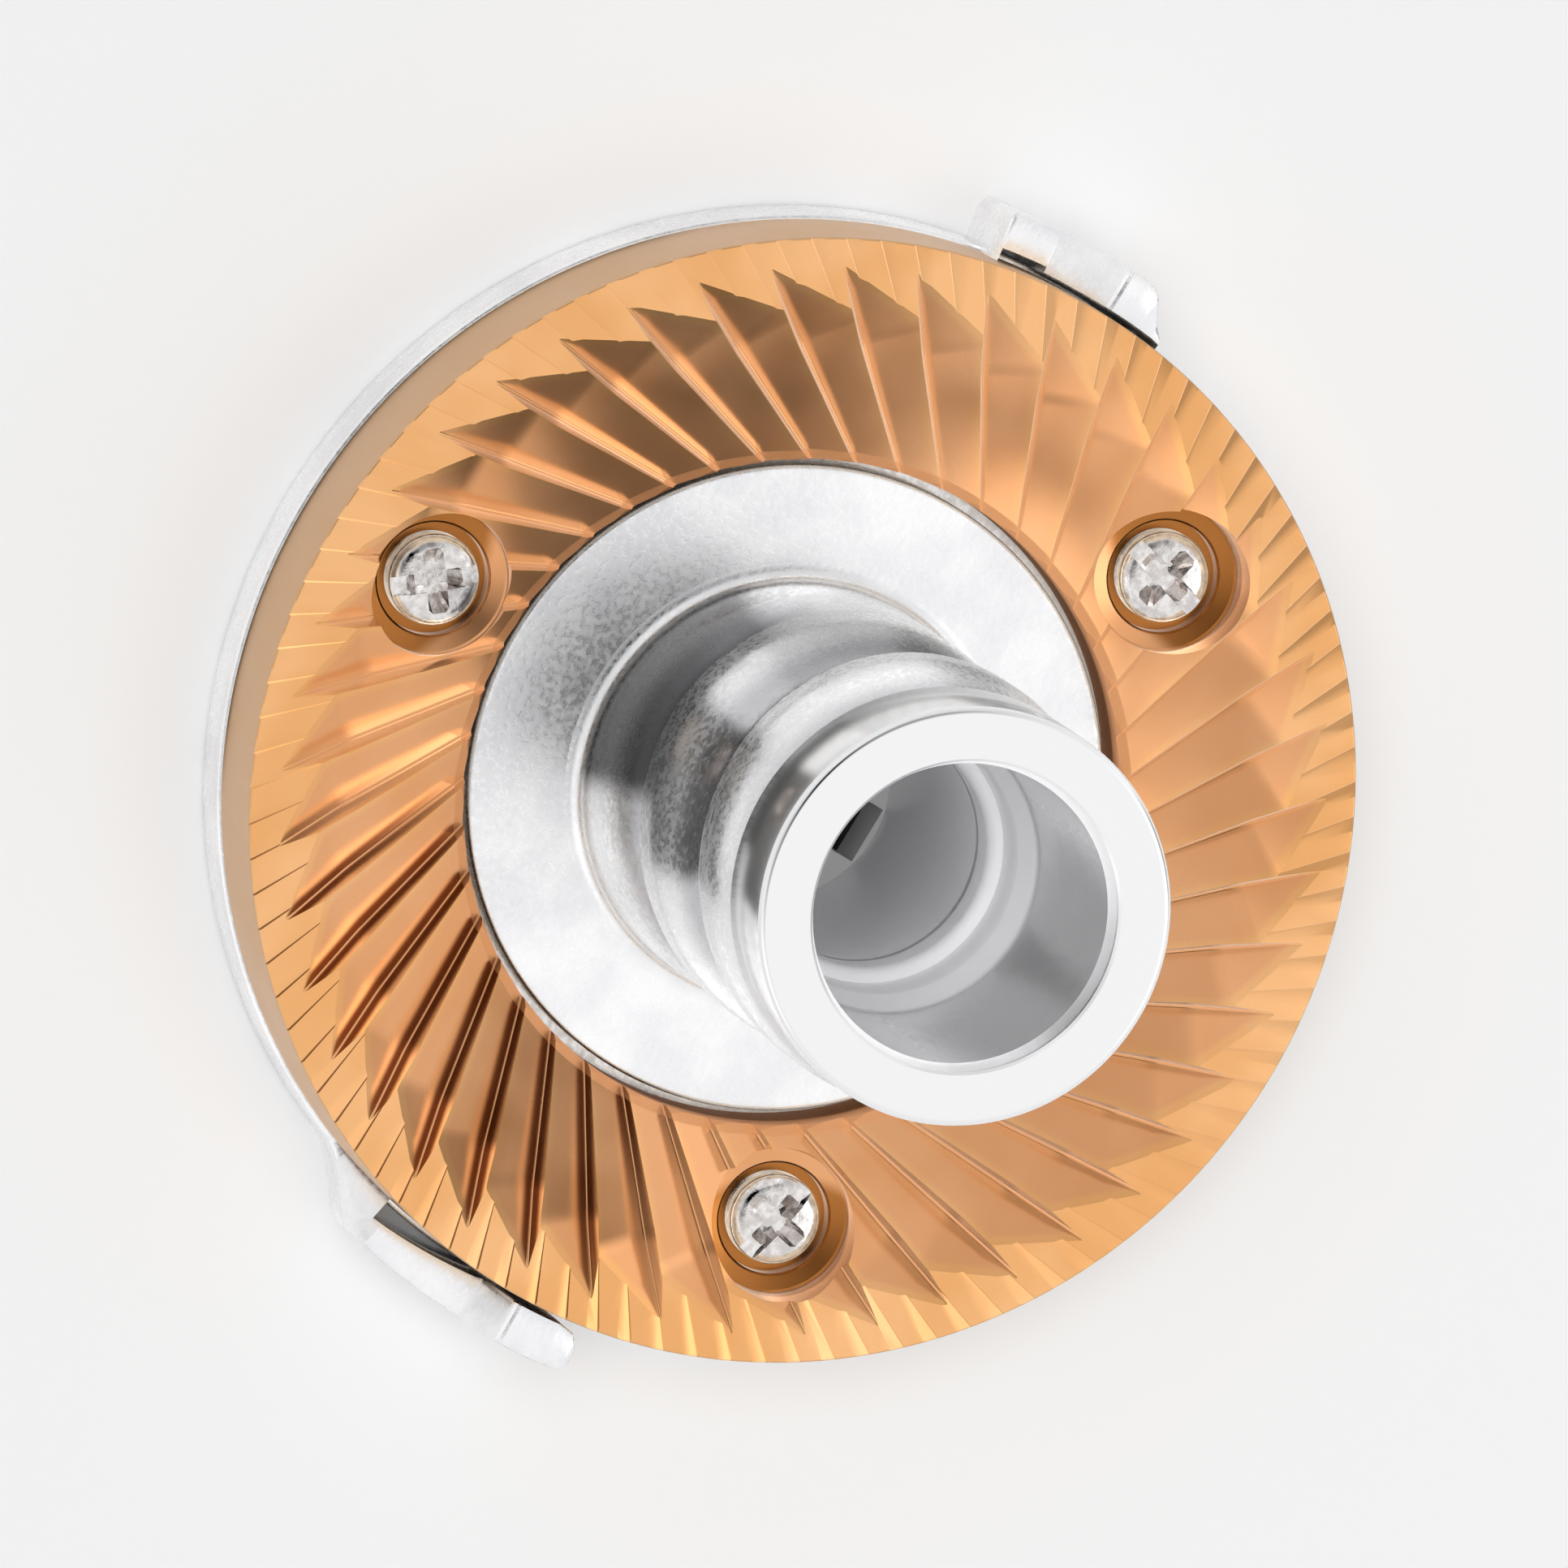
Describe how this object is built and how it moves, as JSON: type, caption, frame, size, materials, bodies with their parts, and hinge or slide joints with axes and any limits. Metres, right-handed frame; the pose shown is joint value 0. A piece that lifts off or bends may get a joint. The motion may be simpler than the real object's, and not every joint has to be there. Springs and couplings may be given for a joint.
{
  "type": "coffee grinder burr",
  "caption": "Flat grinding burr: toothed bronze-coloured ring screwed to a cast carrier with rim lugs and a long auger hub with a stepped bore.",
  "frame": {"origin": "centre of the carrier's flat back face, on the axis", "axes": "+Z along the axis towards the nose, +X through the sweeper lugs"},
  "size_m": [0.0698, 0.0646, 0.0446],
  "materials": {
    "ring_steel": "ground tool steel with a gold-bronze hard coating",
    "cast_aluminium": "die cast, with machined nose and bore mouth",
    "screw_steel": "bright plated"
  },
  "bodies": {
    "root": {"burr_ring": "ring_steel", "burr_carrier": "cast_aluminium", "burr_screw_1": "screw_steel", "burr_screw_2": "screw_steel", "burr_screw_3": "screw_steel"}
  },
  "joints": []
}
